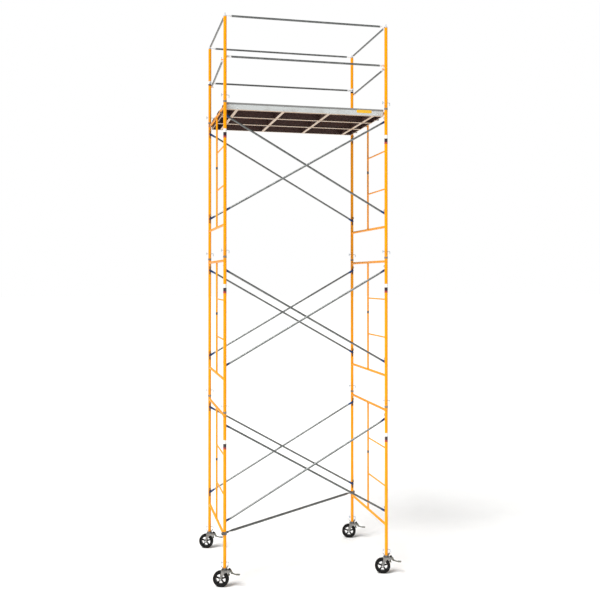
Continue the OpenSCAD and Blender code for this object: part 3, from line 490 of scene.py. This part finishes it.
def weldBead(centre, axis, outward, bigRadius, smallRadius):
    # bead where a small tube meets a big one. Round the small tube by the angle t, the seam is small radius
    # times (cos t, sin t) across, and sqrt(big radius^2 - (small radius cos t)^2) outward. The bead is a circle
    # about that seam, and its radius swells once for each ripple
    w = weldLook
    axis, outward = np.array(axis, float), np.array(outward, float)
    across = np.cross(axis, outward)
    t = np.linspace(0, 2 * np.pi, w["around"], endpoint=False)[:, None, None]
    s = np.linspace(0, 2 * np.pi, w["section"], endpoint=False)[None, :, None]
    reach = np.sqrt(bigRadius ** 2 - (smallRadius * np.cos(t)) ** 2)
    awaySmall = np.cos(t) * across + np.sin(t) * axis
    awayBig = (smallRadius * np.cos(t) * across + reach * outward) / bigRadius
    seam = np.array(centre) + smallRadius * awaySmall + reach * outward
    thick = w["radius"] * (1 + w["swell"] * np.cos(w["ripples"] * t))
    return shell(seam + thick * (np.cos(s) * awaySmall + np.sin(s) * awayBig), False)


def makeWelds():
    w = weldLook
    for lift, foot in enumerate(liftFeet, 1):
        for end, x in (("left", -legX), ("right", legX)):
            beads = []
            for z in (foot + w["headerHeight"], foot + w["bottomHeight"]):
                for y in (-legY, legY):
                    beads.append(weldBead((x, y, z), (0, 0, 1), (0, -math.copysign(1, y), 0), legRadius,
                                          w["barRadius"]))
            for z in w["rungHeights"]:
                beads.append(weldBead((x, -legY, foot + z), (0, 0, 1), (0, 1, 0), legRadius, w["rungRadius"]))
                beads.append(weldBead((x, 0, foot + z), (0, 0, 1), (0, -1, 0), w["uprightRadius"],
                                      w["rungRadius"]))
            for z, up in ((w["headerHeight"], -1), (w["bottomHeight"], 1)):
                beads.append(weldBead((x, 0, foot + z), (0, 1, 0), (0, 0, up), w["barRadius"],
                                      w["uprightRadius"]))
            makePiece("weld_beads_%d_%s" % (lift, end), beads, finishOf["frame_"], "tower", 60)


# bands and tags are measured down from the middle of the collar above them
bandLook = {"white": "#F2F1EC", "black": "#33222A", "red": "#B23A2C", "scuff": "#B9B2A4", "thickness": 0.0004,
            "whiteTop": 0.345, "blackTop": 0.390, "redTop": 0.435, "bottom": 0.460,
            "scuffPatch": (0.012, 0.60, 0.68, 0.6, (1, 1, 4)), "rough": (0.30, 0.60), "depth": 0.0001}
filmLook = {"rubPatch": (0.02, 0.55, 0.75, 0.5), "rough": (0.35, 0.65), "depth": 0.0001}
tagLook = {"colour": "#4A3A2C", "edge": "#8A7A66", "drop": 0.745, "height": 0.034, "thickness": 0.0004}
postBandLooks = {"white": {"colour": "#F4F3EF", "edge": "#B9B2A4", "rise": 0.012, "height": 0.034},
                "dark": {"colour": "#33171C", "edge": "#6A5A52", "rise": -0.020, "height": 0.026}}
plateLook = {"colour": "#F4BE2E", "edge": "#3A3A34", "size": (0.205, 0.040), "thickness": 0.0012,
             "x": 0.776, "drop": 0.037, "square": 0.2, "around": 96}


def printedBands():
    # vinyl film wrapped round the leg, printed in white, black and red bands, with no lettering, and scuffed
    b = bandLook
    material, tree, place = openMaterial("printed_vinyl_band")
    height = addNode(tree, "SeparateXYZ", {0: place}, "Z")
    # the start is a whole number of lifts above the tower, so that the remainder is never of a negative number
    start = footZ + collarRise + 4 * liftPitch
    drop = addNode(tree, "Math", {0: start, 1: height}, operation="SUBTRACT")
    below = addNode(tree, "Math", {0: drop, 1: liftPitch}, operation="MODULO")
    black = addNode(tree, "Math", {0: below, 1: b["blackTop"]}, operation="GREATER_THAN")
    red = addNode(tree, "Math", {0: below, 1: b["redTop"]}, operation="GREATER_THAN")
    colour = addNode(tree, "Mix", {0: black, 6: linear(b["white"]), 7: linear(b["black"])}, 2, data_type="RGBA")
    colour = addNode(tree, "Mix", {0: red, 6: colour, 7: linear(b["red"])}, 2, data_type="RGBA")
    scuff = patches(tree, place, *b["scuffPatch"])
    colour = addNode(tree, "Mix", {0: scuff, 6: colour, 7: linear(b["scuff"])}, 2, data_type="RGBA")
    roughness = addNode(tree, "MapRange", {"Value": scuff, "To Min": b["rough"][0], "To Max": b["rough"][1]})
    closeMaterial(tree, colour, roughness, scuff, b["depth"], {"IOR": 1.5})
    return material


def printedFilm(name, look):
    # printed film or a painted plate: one plain colour with rubbed spots and no lettering
    f = filmLook
    material, tree, place = openMaterial(name)
    rubbed = patches(tree, place, *f["rubPatch"])
    colour = addNode(tree, "Mix", {0: rubbed, 6: linear(look["colour"]), 7: linear(look["edge"])}, 2,
                     data_type="RGBA")
    roughness = addNode(tree, "MapRange", {"Value": rubbed, "To Min": f["rough"][0], "To Max": f["rough"][1]})
    closeMaterial(tree, colour, roughness, rubbed, f["depth"], {"IOR": 1.5})
    return material


def sleeve(x, y, low, high, radius, thickness, around=40):
    # thin sleeve round a tube: a rectangle of radius and height carried round the tube's axis
    inner, outer = radius - thickness / 4, radius + thickness
    profile = [(inner, low), (outer, low), (outer, high), (inner, high)]
    return shell(turned(profile, (x, y, 0), (0, 0, 1), around), False)


def makePrints():
    b, t, p = bandLook, tagLook, plateLook
    bands = printedBands()
    for name, (sx, sy) in corners.items():
        if sy < 0:
            sleeves = []
            for foot in liftFeet:
                collar = foot + collarRise
                sleeves.append(sleeve(sx * legX, sy * legY, collar - b["bottom"], collar - b["whiteTop"],
                                      legRadius, b["thickness"]))
            makePiece("printed_bands_" + name, sleeves, bands, "tower")
    tags = []
    for x in (-legX, legX):
        for foot in liftFeet:
            middle = foot + collarRise - t["drop"]
            tags.append(sleeve(x, 0, middle - t["height"] / 2, middle + t["height"] / 2,
                               weldLook["uprightRadius"], t["thickness"], 28))
    makePiece("upright_tags", tags, printedFilm("rubbed_paper_tag", t), "tower")
    # a white and a dark band round each back post, where the mid rail meets it; the dark one, just below the
    # stud, stands for the stud's dark washer and is partly painted shadow under the stud
    railLow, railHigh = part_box("mid_rails_long")
    for name, look in postBandLooks.items():
        bottom = (railLow.z + railHigh.z) / 2 + look["rise"] - look["height"] / 2
        rings = [sleeve(x, legY, bottom, bottom + look["height"], legRadius, t["thickness"])
                 for x in (-legX, legX)]
        film = printedFilm("post_band_" + name, look)
        makePiece("post_bands_" + name, rings, film, "tower")
    # plate outline: |x / a|^n + |z / b|^n = 1 with n twice the inverse of the square value, shrunk for its
    # rounded edge and drawn to a pole on both faces; each step is a rise in thicknesses and a size
    low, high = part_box("plank_1_frame")
    u = np.linspace(0, 2 * np.pi, p["around"], endpoint=False)
    power = lambda v: np.sign(v) * np.abs(v) ** p["square"]
    outline = np.stack([power(np.cos(u)) * p["size"][0] / 2, 0 * u, power(np.sin(u)) * p["size"][1] / 2], -1)
    steps = [(0, 1.0), (0.6, 1.0), (0.985, 1.0), (1.0, 0.6), (1.0, -0.1), (0, -0.1)]
    rings = np.stack([outline * size - np.array([0, p["thickness"] * rise, 0]) for size, rise in steps])
    rings = rings + np.array([p["x"], low.y, high.z - p["drop"]])
    makePiece("plank_plate", [shell(rings, True)], printedFilm("painted_plate", p), "tower")


fixingLook = {"rivetRadius": 0.0055, "rivetHeight": 0.0026, "screwRadius": 0.0048, "screwHeight": 0.0008,
              "ribShares": (-0.435, -0.145, 0.145, 0.435), "endInsets": (0.014, 0.042, 0.070), "screwRows": 5,
              "rivetDrops": (0.026, 0.072), "edgeInset": 0.034}


def makeFixings():
    # rivets through the side channels at every cross rib and hook, and a row of deck screws over every rib
    f = fixingLook
    rivetMetal, screwMetal = finishOf["rail_pins"], finishOf["toggle_pins"]
    for plank in (1, 2, 3):
        low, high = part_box("plank_%d_frame" % plank)
        deckLow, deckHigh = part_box("plank_%d_deck" % plank)
        half = (deckHigh.x - deckLow.x) / 2
        ribX = [share * 2 * half for share in f["ribShares"]]
        endX = [side * (half - inset) for side in (-1, 1) for inset in f["endInsets"]]
        rivets = [head((x, y, high.z - drop), (0, facing, 0), f["rivetRadius"], f["rivetHeight"])
                  for x in ribX + endX for drop in f["rivetDrops"] for y, facing in ((low.y, -1), (high.y, 1))]
        makePiece("plank_%d_rivets" % plank, rivets, rivetMetal, "tower")
        rows = np.linspace(deckLow.y + f["edgeInset"], deckHigh.y - f["edgeInset"], f["screwRows"])
        lines = ribX + [side * (half - f["edgeInset"] / 2) for side in (-1, 1)]
        screws = [head((x, y, deckHigh.z), (0, 0, 1), f["screwRadius"], f["screwHeight"], 12)
                  for x in lines for y in rows]
        makePiece("plank_%d_screws" % plank, screws, screwMetal, "tower")


tyreLook = {"section": 56, "around": 84, "square": 0.36, "grooveAt": 0.0105, "grooveDepth": 0.0022,
            "grooveWidth": 0.0022, "thickness": 0.020}
capLook = {"centre": (0.0600, 0, 0.2235), "half": (0.0095, 0.0125, 0.0150), "square": 0.35, "rows": 20,
           "around": 32}
sealLook = {"ringRadius": 0.0300, "bead": 0.0021, "height": 0.2262, "section": 10, "around": 60}
swivelRest = math.radians(-20)      # the casters trail at this angle from the bay's length


def tyreShell(low, high):
    # section: |s / w|^n + |(r - m) / d|^n = 1 about the middle of the rubber, with two round grooves in the
    # tread, carried round the axle by the angle t
    k = tyreLook
    centre = np.array([(a + b) / 2 for a, b in zip(low, high)])
    radius = (high.z - low.z) / 2
    along = np.array([-math.sin(swivelRest), math.cos(swivelRest), 0])
    width = (high.y - low.y - 2 * radius * abs(math.sin(swivelRest))) / math.cos(swivelRest)
    u = np.linspace(0, 2 * np.pi, k["section"], endpoint=False)
    power = lambda v: np.sign(v) * np.abs(v) ** k["square"]
    s = power(np.cos(u)) * width / 2
    r = radius - k["thickness"] / 2 + power(np.sin(u)) * k["thickness"] / 2
    groove = k["grooveDepth"] * np.exp(-((np.abs(s) - k["grooveAt"]) / k["grooveWidth"]) ** 2)
    r = r - np.where(np.sin(u) > 0, groove, 0)
    return shell(turned(np.stack([r, s], -1), centre, along, k["around"]), False)


def capShell(x, y):
    # rounded block: x = a c(v) c(u), y = b c(v) s(u), z = h s(v), where c and s are cosine and sine drawn
    # towards square by a power, then turned with the caster
    k = capLook
    power = lambda v: np.sign(v) * np.abs(v) ** k["square"]
    v = np.linspace(-np.pi / 2, np.pi / 2, k["rows"])[:, None]
    u = np.linspace(0, 2 * np.pi, k["around"], endpoint=False)[None, :]
    block = np.stack([power(np.cos(v)) * power(np.cos(u)), power(np.cos(v)) * power(np.sin(u)),
                      power(np.sin(v)) + 0 * u], -1) * np.array(k["half"]) + np.array(k["centre"])
    c, s = math.cos(swivelRest), math.sin(swivelRest)
    return shell(block @ np.array([[c, s, 0], [-s, c, 0], [0, 0, 1]]) + np.array([x, y, 0]), True)


def makeCasterParts():
    capRubber = darkFinish("moulded_cap_rubber")
    a = np.linspace(0, 2 * np.pi, sealLook["section"], endpoint=False)
    ring = np.stack([sealLook["ringRadius"] + sealLook["bead"] * np.cos(a), sealLook["bead"] * np.sin(a)], -1)
    for name, (sx, sy) in corners.items():
        x, y = sx * legX, sy * legY
        tyre = makePiece("tyre_" + name, [tyreShell(*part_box("caster_%s_tyre" % name))], finishOf["_tyre"],
                         "wheel_" + name, 50)
        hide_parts("caster_%s_tyre" % name)
        makePiece("pedal_cap_" + name, [capShell(x, y)], capRubber, "pedal_" + name, 50)
        makePiece("bearing_seal_" + name, [shell(turned(ring, (x, y, sealLook["height"]), (0, 0, 1),
                                                        sealLook["around"]), False)],
                  capRubber, "tower", 60)


floorLook = {"colour": "#FCFCFB", "speck": "#F9F9F8", "half": 160.0, "steps": 9,
             "speckPatch": (0.4, 0.3, 0.7), "rough": (0.85, 0.95), "depth": 0.0001}
worldLook = {"seen": 1.0, "light": 0.34}


def makeFloor():
    # pale matt floor: a flat grid of points x, y over the whole half width
    f = floorLook
    material, tree, place = openMaterial("pale_studio_floor")
    speck = patches(tree, place, *f["speckPatch"])
    colour = addNode(tree, "Mix", {0: speck, 6: linear(f["colour"]), 7: linear(f["speck"])}, 2,
                     data_type="RGBA")
    roughness = addNode(tree, "MapRange", {"Value": speck, "To Min": f["rough"][0], "To Max": f["rough"][1]})
    closeMaterial(tree, colour, roughness, speck, f["depth"], {})
    edge = np.linspace(-f["half"], f["half"], f["steps"])
    x, y = np.meshgrid(edge, edge, indexing="ij")
    i, j = (q.ravel() for q in np.meshgrid(np.arange(f["steps"] - 1), np.arange(f["steps"] - 1), indexing="ij"))
    first = i * f["steps"] + j
    quads = np.stack([first, first + f["steps"], first + f["steps"] + 1, first + 1], -1)
    mesh = bpy.data.meshes.new("floor")
    mesh.from_pydata(np.stack([x, y, 0 * x], -1).reshape(-1, 3).tolist(), [], quads.tolist())
    mesh.materials.append(material)
    floor = bpy.data.objects.new("floor", mesh)
    bpy.context.scene.collection.objects.link(floor)


def makeWorld():
    # the backdrop is white, and lights the tower more softly than it looks
    world = bpy.data.worlds.new("studio")
    world.use_nodes = True
    tree = world.node_tree
    tree.nodes.clear()
    seen = addNode(tree, "LightPath", {}, "Is Camera Ray")
    strength = addNode(tree, "MapRange", {"Value": seen, "To Min": worldLook["light"],
                                          "To Max": worldLook["seen"]})
    glow = addNode(tree, "Background", {"Color": (1, 1, 1, 1), "Strength": strength})
    addNode(tree, "OutputWorld", {"Surface": glow})
    bpy.context.scene.world = world


makeCamera()
makeLights()
makeWorld()
makeFloor()
bpy.context.scene.view_settings.view_transform = "Standard"
print("camera, lights and floor made")
dressNodes()
print("finishes given to the CAD pieces")
makeWelds()
print("weld beads made")
makePrints()
print("printed bands, tags and plate made")
makeFixings()
print("rivets and screws made")
makeCasterParts()
print("caster tyres, caps and seals made")
